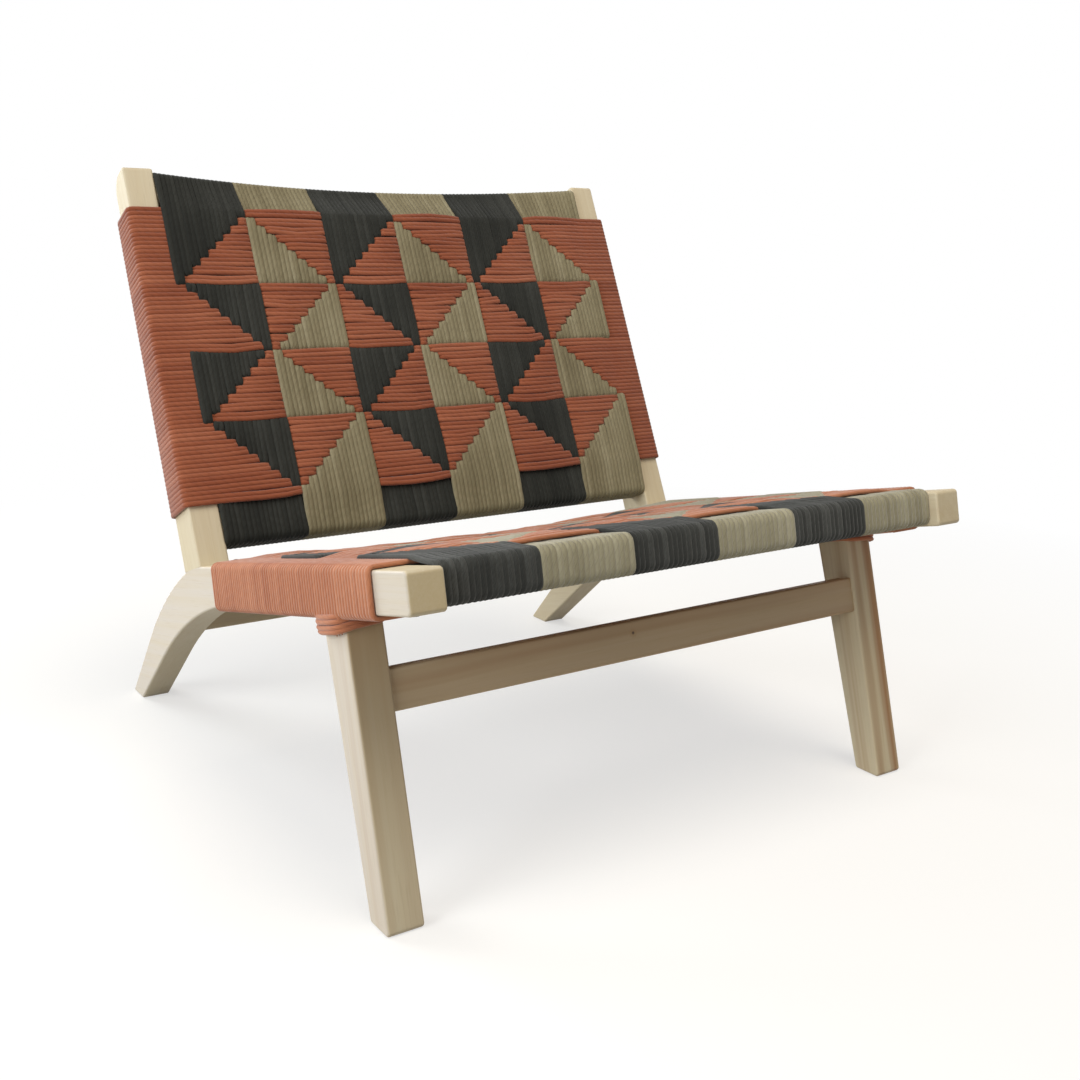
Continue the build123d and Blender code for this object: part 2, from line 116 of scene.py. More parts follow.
# Unevenness of hand work: spread of places and wander in millimetres, and of heights as a share.
DRIFT_WAVES = (170.0, 83.0)
BAND_PLACE = 0.12
BAND_DRIFT = 0.16
BAND_CORD_DRIFT = 0.1
BAND_LIFT = 0.05
WEFT_PLACE = 0.1
WEFT_DRIFT = 0.34
WEFT_CORD_DRIFT = 0.16
WEFT_LIFT = 0.06
WEFT_CORD_LIFT = 0.03
BAND_SEEDS = {"seat": 1400, "back": 1450}
WEFT_SEEDS = {"seat": 57, "back": 31}

# Rings of a cord's tube: evenly spaced, closer round a dive, and round the frame's edges up to an angle.
BAND_STEP = 15.0
WEFT_STEP = 26.0
DIVE_RINGS = (-1.0, -0.45, 0.0, 0.45, 1.0)
DIVE_CLEAR = 2.5
END_CLEAR = 1.0
LEAST_STEP = 0.4
RAIL_TURN, RAIL_RINGS = 67.5, 3
EDGE_TURN, EDGE_RINGS = 60.0, 2

# Tails of the seat's cross cords, which run down the outside of a front leg, and the binding over them.
TAIL_LENGTH = 17.0
TAIL_SPREAD = 3.0
TAIL_INSET = 2.0
TAIL_BEND = 5.0
UNDER_INSET = 3.0
TURNS = 4.3
TURN_PITCH = 4.3
TURN_TOP = 282.9
TURN_TILT = 4.2
TURN_RINGS = 16
TURN_POWER = 2 / 5
TURN_WAVER, TURN_WAVER_RATE = 0.5, 2.1
TURN_LIFT, TURN_LIFT_SPREAD, TURN_LIFT_RATE = 0.4, 0.6, 5
TURN_OVER_TAILS = 0.85
BINDING_SEEDS = {-1: 7, 1: 11}

# Bake map of the cords: each tube is cut into strips that lie side by side, with margins.
STRIP_SIDE, STRIP_WIDTH = 0.06, 0.88
STRIP_END, STRIP_LENGTH = 0.01, 0.98
STRIP_SPARE = 1.06
STRIP_EDGE = 1.0001


def heading(angle):
    return np.array([math.cos(math.radians(angle)), math.sin(math.radians(angle))])


def to_row(points):
    """Points as x, y, z in millimetres of the side view, in metres of the row frame."""
    return (np.asarray(points, float) + np.array([0.0, SHIFT_Y, 0.0])) / 1000


def smooth(value):
    """Eased step from 0 to 1."""
    share = np.clip(value, 0, 1)
    return share * share * (3 - 2 * share)


def taper(low, low_depth, high, high_depth):
    """Depth of a tapered member, as a function of the place along it."""
    def depth(along):
        return low_depth + (high_depth - low_depth) * (np.asarray(along, float) - low) / (high - low)
    return depth


class Edge:
    """A straight edge in the side view, with distances along it and out of its face."""

    def __init__(self, origin, angle):
        self.origin = np.array(origin, float)
        self.run = heading(angle)
        self.out = heading(angle + 90)

    def place(self, x, along, out):
        x, along, out = np.broadcast_arrays(*(np.asarray(v, float) for v in (x, along, out)))
        flat = self.origin + along[..., None] * self.run + out[..., None] * self.out
        return np.concatenate([x[..., None], flat], axis=-1)


rail = Edge((0.0, SEAT_HEIGHT), -SEAT_SLOPE)
stile = Edge(rail.place(0.0, BACK_START, 0.0)[1:], 90 - BACK_RAKE)
leg = Edge((LEG_FOOT, 0.0), 90 - LEG_SPLAY)
rail_depth = taper(0.0, 36.0, 425.0, 42.0)
stile_depth = taper(14.4, 50.0, 460.0, 38.0)
leg_depth = taper(0.0, 33.0, 280.0, 44.0)


class Panel:
    """A woven panel: bands wound round two rails, and cross cords wound round two side members.

    near and far are the rails' extents along the edge, and weft that of the cross cords. The far rail is bowed
    by bow at its middle, the face bends down to it from hinge on, and the panel sags by sag. The pattern starts
    at the far rail if from_far is set, and loose scales the unevenness.
    """

    def __init__(self, name, edge, near, far, bow, sag, hinge, weft, depth, from_far, loose):
        self.name = name
        self.edge = edge
        self.near = near
        self.far = far
        self.bow = bow
        self.sag = sag
        self.hinge = hinge
        self.weft = weft
        self.depth = depth
        self.from_far = from_far
        self.loose = loose
        self.row_width = (weft[1] - weft[0]) / PAIR_ROWS

    def lowered(self, x, t, bent):
        """Depth of the hollow, where t is the share of the way between the rails and bent that of the bow."""
        bulge = np.clip(1 - (np.asarray(x, float) / INNER) ** 2, 0, None)
        return bulge * (self.bow * bent + self.sag * 4 * t * (1 - t))

    def share(self, s):
        return np.clip((np.asarray(s, float) - self.near[1]) / (self.far[0] - self.near[1]), 0, 1)

    def dip(self, x, s):
        """How far the face lies below the frame's: taut cross cords follow the bowed rail only in part."""
        t = self.share(s)
        rise = (np.asarray(s, float) - self.hinge) / (self.far[1] - RAIL_ROUND - self.hinge)
        return self.lowered(x, t, FOLLOW * t + (1 - FOLLOW) * np.clip(rise, 0, 1))

    def rear_dip(self, x, s):
        """The same on the rear face, where the cords run straight from rail to rail."""
        t = self.share(s)
        return self.lowered(x, t, t)

    def rail_gap(self, s):
        """Distance from the nearer rail, along the panel."""
        return np.clip(np.minimum(s - self.near[1], self.far[0] - s), 0, None)

    def rear_level(self, x, s):
        """Height of the rear face, between the rails' backs and the side members' backs."""
        least = 0.5
        aside = np.clip(INNER - np.abs(x), least, None)
        mix = aside / (aside + self.rail_gap(s) + least)
        depth = mix * (STAND - RAIL_BACK) + (1 - mix) * (self.depth(s) + STAND)
        return -depth - self.rear_dip(x, s)

    def step(self, row):
        """A row's number, counted from the end where the pattern starts."""
        return PAIR_ROWS - 1 - row if self.from_far else row

    def band_on_top(self, band, pair, row):
        """True where the band is outside the cross cord, with rows counted along the panel."""
        charcoal = band % 2 == 0
        step = self.step(row)
        if step == 0:
            return charcoal
        if step == PAIR_ROWS - 1:
            return not charcoal
        cell, m = divmod(step - 1, CELL_ROWS)
        m += 1
        if cell % 2 == 0:
            return pair < PAIRS - m if charcoal else pair < m
        return pair >= m if charcoal else pair >= PAIRS - m

    def diagonal(self, band, cell):
        """1 where the triangles' long side runs along the panel as x grows, and -1 where it runs back."""
        rising = (cell % 2 == 0) != (band % 2 == 0)
        return np.where(rising, 1.0, -1.0) * (-1.0 if self.from_far else 1.0)

    def band_lean(self, band, s):
        """How much later along the panel the right cord of a band's pair changes face than its middle."""
        rows = (s - self.weft[0]) / self.row_width
        rows = (PAIR_ROWS - rows if self.from_far else rows) - 1
        cell = np.floor(rows / CELL_ROWS)
        part = rows - cell * CELL_ROWS
        inside = (cell >= 0) & (rows < PAIR_ROWS - 2)
        share = smooth(np.minimum(part, CELL_ROWS - part) / SLANT_REACH) * inside
        return SLANT * self.row_width * share * self.diagonal(band, cell)

    def weft_lean(self, row, x):
        """The same across the panel, for the further of a row's two cords."""
        step = self.step(row)
        if step in (0, PAIR_ROWS - 1):
            return np.zeros_like(x)
        band = np.floor((x + INNER) / BAND_WIDTH)
        part = ((x + INNER) / BAND_WIDTH - band) * PAIRS
        share = smooth(np.minimum(part, PAIRS - part) / SLANT_REACH) * (np.abs(x) < INNER)
        return SLANT * PAIR_WIDTH * share * self.diagonal(band, (step - 1) // CELL_ROWS)


seat = Panel(
    "seat", rail, near=(15.0, 49.0), far=(431.0, 465.0), bow=12.0, sag=0.0, hinge=140.0,
    weft=(57.0, 424.0), depth=rail_depth, from_far=False, loose=1.8,
)
back = Panel(
    "back", stile, near=(24.0, 58.0), far=(417.0, 451.0), bow=28.0, sag=2.0, hinge=406.0,
    weft=(66.0, 410.0), depth=stile_depth, from_far=True, loose=1.0,
)


def weave(place, states, start, width):
    """Smooth height from -1 to 1 along a cord whose state in each cell is given."""
    padded = np.pad(states, 2, mode="edge")
    u = (place - start) / width - 0.5
    cell = np.clip(np.floor(u), -2, len(states)).astype(int)
    part = smooth((u - cell - 0.5 + DIVE) / (2 * DIVE))
    here = padded[np.clip(cell + 2, 0, len(padded) - 1)]
    after = padded[np.clip(cell + 3, 0, len(padded) - 1)]
    return here + (after - here) * part


def flip_gap(place, states, start, width):
    """Distance from the nearest place where a cord comes up or dives."""
    flips = start + width * (np.nonzero(np.diff(states))[0] + 1)
    return np.abs(place[:, None] - flips[None, :]).min(axis=1)


def samples(low, high, states, start, width, step):
    """Places along a cord: evenly spaced, and closer where it dives."""
    padded = np.concatenate([[0.0], states, [0.0]])
    edges = start + np.nonzero(np.diff(padded))[0] * width
    near = np.concatenate([edges + share * DIVE * width for share in DIVE_RINGS])
    even = np.linspace(low, high, int((high - low) / step) + 1)
    clear = np.abs(even[:, None] - near[None, :]).min(axis=1) > DIVE_CLEAR
    clear[[0, -1]] = True
    near = near[(near > low + END_CLEAR) & (near < high - END_CLEAR)]
    every = np.sort(np.concatenate([even[clear], near]))
    return every[np.concatenate([[True], np.diff(every) > LEAST_STEP])]


def arc(centre, radius, start, end, count):
    turn = np.radians(np.linspace(start, end, count + 1))
    return np.stack([centre[0] + radius * np.cos(turn), centre[1] + radius * np.sin(turn)], axis=1)


class Cords:
    """Collects tubes, and makes one mesh object of them."""

    def __init__(self, seed):
        self.random = np.random.default_rng(seed)
        self.tubes = []

    def drift(self, place, size):
        """Slow sideways wander of a cord."""
        total = np.zeros_like(place)
        for wave in DRIFT_WAVES:
            phase = 2 * math.pi * (place / wave + self.random.random())
            total += np.sin(phase) * self.random.normal(0, size)
        return total

    def add(self, points, across, half_width, half_height, closed=True, square=(SQUARE_WIDE, SQUARE_HIGH)):
        """Tube along points in millimetres, flattened where it lies against its neighbours."""
        points = np.asarray(points, float)
        if closed:
            ahead, behind = np.roll(points, -1, axis=0), np.roll(points, 1, axis=0)
        else:
            ahead = np.concatenate([points[1:], points[-1:]])
            behind = np.concatenate([points[:1], points[:-1]])
        tangent = ahead - behind
        tangent /= np.linalg.norm(tangent, axis=1)[:, None]
        side = np.broadcast_to(np.asarray(across, float), points.shape)
        side = side - tangent * (side * tangent).sum(axis=1)[:, None]
        side = side / np.linalg.norm(side, axis=1)[:, None]
        normal = np.cross(side, tangent)
        turn = 2 * math.pi * np.arange(SIDES) / SIDES
        wide = half_width * np.sign(np.cos(turn)) * np.abs(np.cos(turn)) ** square[0]
        high = half_height * np.sign(np.sin(turn)) * np.abs(np.sin(turn)) ** square[1]
        scale = np.ones(len(points))
        if not closed:
            scale[[0, -1]] = END_SCALE
        ring = (
            points[:, None, :]
            + side[:, None, :] * wide[None, :, None] * scale[:, None, None]
            + normal[:, None, :] * high[None, :, None] * scale[:, None, None]
        )
        steps = np.linalg.norm(np.diff(points, axis=0, append=points[:1]), axis=1)
        length = np.concatenate([[0.0], np.cumsum(steps)])
        count = len(points) if closed else len(points) - 1
        tone = self.random.normal(0, 1)
        self.tubes.append((ring, length[: count + 1], count, tone))

    def build(self, name, material, node, slot, strips=4):
        """One object of all tubes, with a bake map, a map of the twist and a tone for each cord."""
        vertices = np.concatenate([ring.reshape(-1, 3) for ring, _, _, _ in self.tubes])
        tones = np.concatenate([np.full(ring.shape[0] * SIDES, tone) for ring, _, _, tone in self.tubes])
        span = max(length[-1] for _, length, _, _ in self.tubes) / strips
        width = 1 / (len(self.tubes) * strips)
        around = np.arange(SIDES)
        beside = (around + 1) % SIDES
        quads, lays, maps = [], [], []
        base = 0
        for number, (ring, length, count, _) in enumerate(self.tubes):
            here = np.arange(count)
            after = (here + 1) % len(ring)
            first = base + here[:, None] * SIDES
            second = base + after[:, None] * SIDES
            quad = np.stack([first + around, first + beside, second + beside, second + around], axis=-1)
            quads.append(quad.reshape(-1, 4))
            u = np.stack([around, around + 1, around + 1, around], axis=-1)[None] / SIDES
            v = np.stack([length[:-1], length[:-1], length[1:], length[1:]], axis=-1)[:, None]
            u, v = np.broadcast_arrays(u, v)
            phase = self.random.random()
            lays.append(np.stack([u, v / LAY + phase], axis=-1).reshape(-1, 2))
            strip = np.floor(length[:-1] / (span * STRIP_EDGE))[:, None, None]
            left = (number * strips + strip) * width + width * (STRIP_SIDE + STRIP_WIDTH * u)
            up = STRIP_END + STRIP_LENGTH * (v - strip * span) / (span * STRIP_SPARE)
            maps.append(np.stack([left, up], axis=-1).reshape(-1, 2))
            base += len(ring) * SIDES
        obj = mesh_object(name, to_row(vertices), np.concatenate(quads), material)
        for key, values in (("OFBake", maps), ("lay", lays)):
            layer = obj.data.uv_layers.new(name=key)
            layer.uv.foreach_set("vector", np.concatenate(values).astype(np.float32).ravel())
        attribute = obj.data.attributes.new("tone", "FLOAT", "POINT")
        attribute.data.foreach_set("value", tones.astype(np.float32))
        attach(obj, "root")
        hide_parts(node)


def mesh_object(name, vertices, faces, material):
    """A smooth object of four-sided faces."""
    mesh = bpy.data.meshes.new(name)
    mesh.vertices.add(len(vertices))
    mesh.vertices.foreach_set("co", np.asarray(vertices, np.float32).ravel())
    mesh.loops.add(faces.size)
    mesh.loops.foreach_set("vertex_index", faces.astype(np.int32).ravel())
    mesh.polygons.add(len(faces))
    mesh.polygons.foreach_set("loop_start", np.arange(0, faces.size, 4, dtype=np.int32))
    mesh.update(calc_edges=True)
    mesh.shade_smooth()
    mesh.materials.append(material)
    obj = bpy.data.objects.new(name, mesh)
    bpy.context.scene.collection.objects.link(obj)
    return obj


def band_cords(panel, band):
    """One band's cords, wound round both rails and woven through the cross cords on both faces."""
    cords = Cords(BAND_SEEDS[panel.name] + band)
    half = PAIR_OFFSET * PAIR_WIDTH
    radius = RAIL_ROUND + STAND
    first, last = panel.near[0] + RAIL_ROUND, panel.far[1] - RAIL_ROUND
    top, bottom = RAIL_FACE - RAIL_ROUND, RAIL_BACK + RAIL_ROUND
    level = RAIL_FACE + STAND
    rows = (panel.weft[0], panel.row_width)
    still = np.zeros(RAIL_RINGS + 1)
    for pair in range(PAIRS):
        states = np.array([1.0 if panel.band_on_top(band, pair, r) else -1.0 for r in range(PAIR_ROWS)])
        middle = (band * PAIRS + pair + 0.5) * PAIR_WIDTH - INNER + cords.random.normal(0, BAND_PLACE)
        s = samples(first, last, states, *rows, BAND_STEP)
        height = weave(s, states, *rows)
        pinch = BAND_PINCH * np.exp(-flip_gap(s, states, *rows) / BAND_PINCH_REACH)
        ease = smooth(np.minimum(s - s[0], s[-1] - s) / BAND_RISE)
        rear_ease = smooth(panel.rail_gap(s) / SHORT_RISE)
        on_rail = (s <= panel.near[1]) | (s >= panel.far[0])
        wander = cords.drift(s, BAND_DRIFT * panel.loose)
        for offset in (-half, half):
            x = middle + offset
            sway = wander + cords.drift(s, BAND_CORD_DRIFT) - offset * pinch
            lift = WEAVE_HALF * (1 + panel.loose * cords.random.normal(0, BAND_LIFT))
            face = level + (WEAVE_LEVEL + lift * height - level) * ease - panel.dip(x, s)
            rear = np.where(
                on_rail,
                RAIL_BACK - STAND - panel.rear_dip(x, s),
                panel.rear_level(x, s) - lift * height * rear_ease,
            )
            lean = np.sign(offset) * panel.band_lean(band, s)
            dip = float(panel.dip(x, panel.far[1]))
            route = np.concatenate([
                np.stack([s + lean, face], axis=1),
                arc((last, top - dip), radius, RAIL_TURN, 0, RAIL_RINGS),
                arc((last, bottom - dip), radius, 0, -RAIL_TURN, RAIL_RINGS),
                np.stack([s, rear], axis=1)[::-1],
                arc((first, bottom), radius, RAIL_TURN - 180, -180, RAIL_RINGS),
                arc((first, top), radius, 180, 180 - RAIL_TURN, RAIL_RINGS),
            ])
            xs = x + np.concatenate([sway, still, still, sway[::-1], still, still])
            points = panel.edge.place(xs, route[:, 0], route[:, 1])
            cords.add(points, (1, 0, 0), BAND_SQUASH * half, FLAT * CORD / 2)
    return cords


def weft_cords(panel):
    """The cross cords, wound round both side members and woven through the bands on both faces."""
    cords = Cords(WEFT_SEEDS[panel.name])
    half = PAIR_OFFSET * panel.row_width
    radius = EDGE_ROUND + STAND
    reach = OUTER - EDGE_ROUND
    pairs = (-INNER, PAIR_WIDTH)
    right_top = arc((reach, -EDGE_ROUND), radius, EDGE_TURN, 0, EDGE_RINGS)
    left_top = arc((-reach, -EDGE_ROUND), radius, 180, 180 - EDGE_TURN, EDGE_RINGS)
    still = np.zeros(EDGE_RINGS + 1)
    across = np.array([0.0, *panel.edge.run])

    def lay(route, along, closed):
        points = panel.edge.place(route[:, 0], along, route[:, 1])
        cords.add(points, across, WEFT_SQUASH * half, FLAT * CORD / 2, closed=closed)

    for row in range(PAIR_ROWS):
        step = panel.step(row)
        states = np.array(
            [-1.0 if panel.band_on_top(b, p, row) else 1.0 for b in range(BANDS) for p in range(PAIRS)]
        )
        x = samples(-reach, reach, states, *pairs, WEFT_STEP)
        height = weave(x, states, *pairs)
        gap = flip_gap(x, states, *pairs)
        afloat = height > 0
        aside = np.clip(INNER - np.abs(x), 0, None)
        fade = np.clip(aside / WANDER_RISE, 0, 1)
        pinch = WEFT_PINCH * np.exp(-gap / WEFT_PINCH_REACH)
        rear_ease = smooth(aside / SHORT_RISE)
        ease = np.where(afloat, smooth(aside / WEFT_RISE), rear_ease)
        middle = panel.weft[0] + (row + 0.5) * panel.row_width + cords.random.normal(0, WEFT_PLACE)
        loose = MOST_SLACK * cords.random.random()
        slack = EDGE_SLACK.get(step, loose if step % CELL_ROWS else CELL_SLACK)
        slack *= -1 if panel.from_far else 1
        hang = slack * smooth(gap / SLACK_REACH) * afloat
        wander = (cords.drift(x, WEFT_DRIFT * panel.loose) + hang) * fade
        puff = 1 + PUFF * panel.loose * smooth(gap / PUFF_REACH) * afloat
        row_lift = WEAVE_HALF * (1 + panel.loose * cords.random.normal(0, WEFT_LIFT))
        for offset in (-half, half):
            s = middle + offset
            sway = wander + cords.drift(x, WEFT_CORD_DRIFT) * fade - offset * pinch * fade
            lift = row_lift * puff * (1 + cords.random.normal(0, WEFT_CORD_LIFT))
            depth = float(panel.depth(s))
            face = STAND + (WEAVE_LEVEL + lift * height - STAND) * ease - panel.dip(x, s)
            rear = np.where(
                np.abs(x) >= INNER,
                -depth - STAND,
                panel.rear_level(x, s) - WEAVE_HALF * height * rear_ease,
            )
            lean = np.sign(offset) * panel.weft_lean(row, x)
            over = np.stack([x + lean, face], axis=1)
            under = np.stack([x, rear], axis=1)
            if panel is seat and LEG_START - 1 < s < LEG_START + LEG_TOP + 1:
                end = -depth - TAIL_LENGTH - TAIL_SPREAD * cords.random.random()
                inset = OUTER - TAIL_INSET + STAND
                tail = np.array([[OUTER + STAND, -depth], [inset, -depth - TAIL_BEND], [inset, end]])
                left_tail = (tail * np.array([-1.0, 1.0]))[::-1]
                ends = np.zeros(len(tail) + len(still))
                route = np.concatenate([left_tail, left_top, over, right_top, tail])
                lay(route, s + np.concatenate([ends, sway, ends]), closed=False)
                lay(under[np.abs(x) < INNER - UNDER_INSET], s, closed=False)
                continue
            route = np.concatenate([
                over,
                right_top,
                arc((reach, EDGE_ROUND - depth), radius, 0, -EDGE_TURN, EDGE_RINGS),
                under[::-1],
                arc((-reach, EDGE_ROUND - depth), radius, EDGE_TURN - 180, -180, EDGE_RINGS),
                left_top,
            ])
            lay(route, s + np.concatenate([sway, still, still, sway[::-1], still, still]), closed=True)
    return cords


def binding_cords(sign):
    """Turns of cord round the top of a front leg, over the tails of the seat's cross cords."""
    cords = Cords(BINDING_SEEDS[sign])
    centre, half = (LEG_SIDES[1] + LEG_SIDES[0]) / 2, (LEG_SIDES[1] - LEG_SIDES[0]) / 2
    points = []
    for share in np.linspace(0, TURNS, int(TURN_RINGS * TURNS) + 1):
        angle = 2 * math.pi * share + math.pi / 2
        c, q = math.cos(angle), math.sin(angle)
        waver = TURN_WAVER * math.sin(TURN_WAVER_RATE * share + sign)
        along = TURN_TOP - TURN_PITCH * share - TURN_TILT * c + waver
        depth = float(leg_depth(along))
        stand = STAND + TURN_LIFT + TURN_LIFT_SPREAD * math.sin(TURN_LIFT_RATE * share)
        over_tails = CORD * TURN_OVER_TAILS * abs(c) ** 0.5 if c > 0 else 0.0
        px = math.copysign(abs(c) ** TURN_POWER, c) * (half + stand + over_tails)
        po = math.copysign(abs(q) ** TURN_POWER, q) * (depth / 2 + stand)
        points.append(leg.place(sign * (centre + px), along, -depth / 2 + po))
    sideways = np.array([0.0, *leg.run])
    cords.add(np.array(points), sideways, CORD / 2, CORD / 2, closed=False, square=(1.0, 1.0))
    return cords


# Materials


def socket_value(owner, key, value):
    """Sets a node's input, or links it where the value is another node's output."""
    target = owner.inputs[key]
    if isinstance(value, bpy.types.NodeSocket):
        owner.id_data.links.new(value, target)
    else:
        target.default_value = value


class Shader:
    """A material's nodes, added one by one."""

    def __init__(self, name):
        self.material = bpy.data.materials.new(name)
        self.material.use_nodes = True
        self.tree = self.material.node_tree
        self.surface = self.tree.nodes["Principled BSDF"]

    def add(self, kind, output=0, inputs=None, **settings):
        node = self.tree.nodes.new("ShaderNode" + kind)
        for key, value in settings.items():
            setattr(node, key, value)
        for key, value in (inputs or {}).items():
            socket_value(node, key, value)
        return node.outputs[output]

    def math(self, operation, *values):
        return self.add("Math", inputs=dict(enumerate(values)), operation=operation)

    def noise(self, vector, scale, detail=2.0, roughness=0.5):
        inputs = {"Vector": vector, "Scale": scale, "Detail": detail, "Roughness": roughness}
        return self.add("TexNoise", inputs=inputs)

    def scaled(self, vector, scale, rotation=(0, 0, 0), location=(0, 0, 0)):
        inputs = {"Vector": vector, "Scale": scale, "Rotation": rotation, "Location": location}
        return self.add("Mapping", inputs=inputs)

    def spread(self, value, low, high, to_low=0.0, to_high=1.0):
        inputs = {0: value, 1: low, 2: high, 3: to_low, 4: to_high}
        return self.add("MapRange", inputs=inputs, clamp=True)

    def split(self, vector):
        """The x, y and z of a vector."""
        node = self.tree.nodes.new("ShaderNodeSeparateXYZ")
        socket_value(node, 0, vector)
        return list(node.outputs)

    def measure(self, operation, *vectors):
        """A number from one or two vectors."""
        return self.add("VectorMath", output=1, inputs=dict(enumerate(vectors)), operation=operation)

    def facing(self, direction):
        """1 where the surface faces a direction, and -1 where it faces away."""
        return self.measure("DOT_PRODUCT", self.add("TexCoord", output="Normal"), direction)

    def mix(self, factor, first, second, blend="MIX"):
        node = self.tree.nodes.new("ShaderNodeMix")
        node.data_type = "RGBA"
        node.blend_type = blend
        for key, value in ((0, factor), (6, first), (7, second)):
            socket_value(node, key, value)
        return node.outputs[2]

    def ramp(self, value, low, middle, high):
        """Colour by value, from three pairs of a value and its colour."""
        node = self.tree.nodes.new("ShaderNodeValToRGB")
        socket_value(node, 0, value)
        stops = node.color_ramp.elements
        stops[0].position, stops[0].color = low
        stops[1].position, stops[1].color = high
        stops.new(middle[0]).color = middle[1]
        return node.outputs[0]

    def set(self, **inputs):
        for key, value in inputs.items():
            socket_value(self.surface, key.replace("_", " "), value)

    def bump(self, height, strength, distance):
        inputs = {"Height": height, "Strength": strength, "Distance": distance}
        self.set(Normal=self.add("Bump", inputs=inputs))


def linear(red, green, blue):
    """Colour written as sRGB values from 0 to 255."""
    values = [v / 255 for v in (red, green, blue)]
    return (*[v / 12.92 if v <= 0.04045 else ((v + 0.055) / 1.055) ** 2.4 for v in values], 1.0)


WOOD_PALE = linear(206, 193, 164)
WOOD_MIDDLE = linear(202, 187, 155)
WOOD_DEEP = linear(192, 173, 138)
WOOD_WARM = linear(172, 135, 92)
# painted highlight for the faces to the left, where the lamps fall
WOOD_LEFT_HIGHLIGHT = linear(203, 194, 185)
WOOD_STREAK = linear(150, 108, 66)
# painted shade under the seat on the front faces, in part a browner tone of the wood
WOOD_SEAT_SHADE_AND_TONE = linear(160, 130, 86)
WOOD_PORE = linear(166, 143, 106)
WOOD_END = linear(182, 162, 120)
KNOT_RIM = linear(165, 128, 84)
KNOT_HEART = linear(62, 44, 30)

# The knot's radius, and its place as x and distances along and out of the leg's edge.
KNOT_SIZE = 0.0021
KNOT_PLACE = (-22.0, 212.84, -3.0)

LEFT = (-1, 0, 0)
AHEAD = (0, -1, 0)


def cord_material(name, main, dark, pale, sheen, fuzz):
    """Twisted cord: three strands with fine fibres, painted shade in the grooves between them, and a tone of
    its own for each cord.
    """
    shader = Shader(name)
    around, along, _ = shader.split(shader.add("UVMap", uv_map="lay"))
    strand = shader.math("ADD", shader.math("MULTIPLY", around, 3.0), along)
    ridge = shader.math("ABSOLUTE", shader.math("SINE", shader.math("MULTIPLY", strand, math.pi)))
    stretched = {0: shader.math("MULTIPLY", strand, 6.0), 1: shader.math("MULTIPLY", along, 0.9)}
    fibre = shader.noise(shader.add("CombineXYZ", inputs=stretched), scale=2.4, detail=3.0, roughness=0.6)
    place = shader.add("TexCoord", output="Object")
    patch = shader.noise(place, scale=9.0, detail=3.0, roughness=0.55)
    tone = shader.add("Attribute", output=2, attribute_name="tone")
    level = shader.math("MULTIPLY_ADD", tone, 0.11, 0.5)
    level = shader.math("ADD", level, shader.spread(fibre, 0.3, 0.7, -0.2, 0.2))
    level = shader.math("ADD", level, shader.spread(patch, 0.35, 0.65, -0.16, 0.16))
    toned = shader.ramp(level, (0.1, dark), (0.5, main), (0.95, pale))
    # Painted shade: the colour is darkened in the grooves between the strands.
    groove = shader.spread(ridge, 0.0, 0.45, 0.82, 1.0)
    shade = shader.add("CombineColor", inputs={0: groove, 1: groove, 2: groove})
    shader.set(Base_Color=shader.mix(0.8, toned, shade, "MULTIPLY"))
    shader.set(Roughness=0.85, Specular_IOR_Level=0.15, Sheen_Weight=sheen, Sheen_Roughness=fuzz)
    height = shader.math("MULTIPLY_ADD", fibre, 0.35, shader.math("POWER", ridge, 0.6))
    shader.bump(height, strength=0.3, distance=0.0005)
    return shader.material


